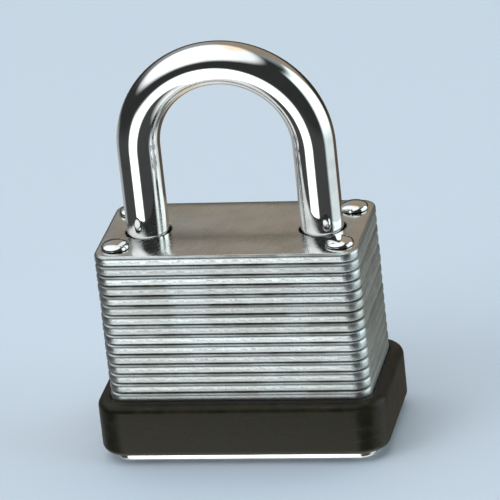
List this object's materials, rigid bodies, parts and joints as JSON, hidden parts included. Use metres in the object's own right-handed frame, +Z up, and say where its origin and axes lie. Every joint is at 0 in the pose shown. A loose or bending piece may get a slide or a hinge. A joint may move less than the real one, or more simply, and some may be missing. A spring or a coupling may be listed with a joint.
{
  "type": "safety padlock",
  "caption": "Laminated steel safety padlock, closed and locked: chrome U shackle, riveted plate body, black rim bumper, pin tumbler cylinder opened from below.",
  "frame": {"origin": "centre of the body's flat underside", "axes": "+Z up the body towards the shackle's crown, +X across the width from the toe to the heel of the shackle, -Y out of the front face"},
  "size_m": [0.0442, 0.0246, 0.0634],
  "materials": {
    "plate_steel": "nickel plated, sheared plate edges, satin",
    "top_steel": "nickel plated, rolled flat face, near mirror",
    "chrome": "polished chrome plate",
    "bumper_rubber": "semi-gloss moulded vinyl rubber",
    "brass": "machined brass",
    "dark_steel": "plain hardened steel, lightly oiled",
    "spring_steel": "drawn spring wire"
  },
  "bodies": {
    "body": {"bottom_plate": "plate_steel", "plate_02": "plate_steel", "plate_03": "plate_steel", "plate_04": "plate_steel", "plate_05": "plate_steel", "plate_06": "plate_steel", "plate_07": "plate_steel", "plate_08": "plate_steel", "plate_09": "plate_steel", "plate_10": "plate_steel", "plate_11": "plate_steel", "plate_12": "plate_steel", "plate_13": "plate_steel", "plate_14": "plate_steel", "plate_15": "plate_steel", "plate_16": "plate_steel", "plate_17": "plate_steel", "plate_18": "plate_steel", "plate_19": "plate_steel", "plate_20": "plate_steel", "top_plate": "top_steel", "rivet_front_left": "plate_steel", "rivet_front_right": "plate_steel", "rivet_back_left": "plate_steel", "rivet_back_right": "plate_steel", "bumper": "bumper_rubber", "cylinder_housing": "brass", "pin_chamber_cover": "brass", "shackle_spring": "spring_steel", "heel_dog_spring": "spring_steel", "toe_dog_spring": "spring_steel", "pin_spring_1": "spring_steel", "pin_spring_2": "spring_steel", "pin_spring_3": "spring_steel", "pin_spring_4": "spring_steel"},
    "shackle": {"shackle": "chrome", "heel_retaining_ring": "dark_steel"},
    "plug": {"plug": "brass", "plug_retaining_clip": "spring_steel", "cam_disc": "dark_steel"},
    "heel_dog": {"heel_dog": "dark_steel"},
    "toe_dog": {"toe_dog": "dark_steel"},
    "key_pin_1": {"key_pin_1": "brass"},
    "driver_pin_1": {"driver_pin_1": "spring_steel"},
    "key_pin_2": {"key_pin_2": "brass"},
    "driver_pin_2": {"driver_pin_2": "spring_steel"},
    "key_pin_3": {"key_pin_3": "brass"},
    "driver_pin_3": {"driver_pin_3": "spring_steel"},
    "key_pin_4": {"key_pin_4": "brass"},
    "driver_pin_4": {"driver_pin_4": "spring_steel"}
  },
  "joints": [
    {"name": "plug_turn", "type": "hinge", "parent": "body", "child": "plug", "pos_m": [0, 0, 0], "axis": [0, 0, 1], "range_deg": [0, 90]},
    {"name": "shackle_lift", "type": "slide", "parent": "body", "child": "shackle", "axis": [0, 0, 1], "range_m": [0, 0.012], "deforming": ["shackle_spring"]},
    {"name": "heel_dog_slide", "type": "slide", "parent": "body", "child": "heel_dog", "axis": [-1, 0, 0], "range_m": [0, 0.00424], "deforming": ["heel_dog_spring"]},
    {"name": "toe_dog_slide", "type": "slide", "parent": "body", "child": "toe_dog", "axis": [1, 0, 0], "range_m": [0, 0.00424], "deforming": ["toe_dog_spring"]},
    {"name": "key_pin_1_lift", "type": "slide", "parent": "plug", "child": "key_pin_1", "axis": [-1, 0, 0], "range_m": [-0.00135, 0]},
    {"name": "driver_pin_1_lift", "type": "slide", "parent": "body", "child": "driver_pin_1", "axis": [-1, 0, 0], "range_m": [-0.00135, 0], "deforming": ["pin_spring_1"]},
    {"name": "key_pin_2_lift", "type": "slide", "parent": "plug", "child": "key_pin_2", "axis": [-1, 0, 0], "range_m": [-0.00195, 0]},
    {"name": "driver_pin_2_lift", "type": "slide", "parent": "body", "child": "driver_pin_2", "axis": [-1, 0, 0], "range_m": [-0.00195, 0], "deforming": ["pin_spring_2"]},
    {"name": "key_pin_3_lift", "type": "slide", "parent": "plug", "child": "key_pin_3", "axis": [-1, 0, 0], "range_m": [-0.00105, 0]},
    {"name": "driver_pin_3_lift", "type": "slide", "parent": "body", "child": "driver_pin_3", "axis": [-1, 0, 0], "range_m": [-0.00105, 0], "deforming": ["pin_spring_3"]},
    {"name": "key_pin_4_lift", "type": "slide", "parent": "plug", "child": "key_pin_4", "axis": [-1, 0, 0], "range_m": [-0.00165, 0]},
    {"name": "driver_pin_4_lift", "type": "slide", "parent": "body", "child": "driver_pin_4", "axis": [-1, 0, 0], "range_m": [-0.00165, 0], "deforming": ["pin_spring_4"]}
  ],
  "couplings": [
    {"joint": "plug_turn", "follows": "shackle_lift", "rad_per_m": 130.9},
    {"joint": "heel_dog_slide", "follows": "shackle_lift", "ratio": 0.35358},
    {"joint": "toe_dog_slide", "follows": "shackle_lift", "ratio": 0.35358},
    {"joint": "driver_pin_1_lift", "follows": "key_pin_1_lift", "ratio": 1},
    {"joint": "driver_pin_2_lift", "follows": "key_pin_2_lift", "ratio": 1},
    {"joint": "driver_pin_3_lift", "follows": "key_pin_3_lift", "ratio": 1},
    {"joint": "driver_pin_4_lift", "follows": "key_pin_4_lift", "ratio": 1}
  ]
}
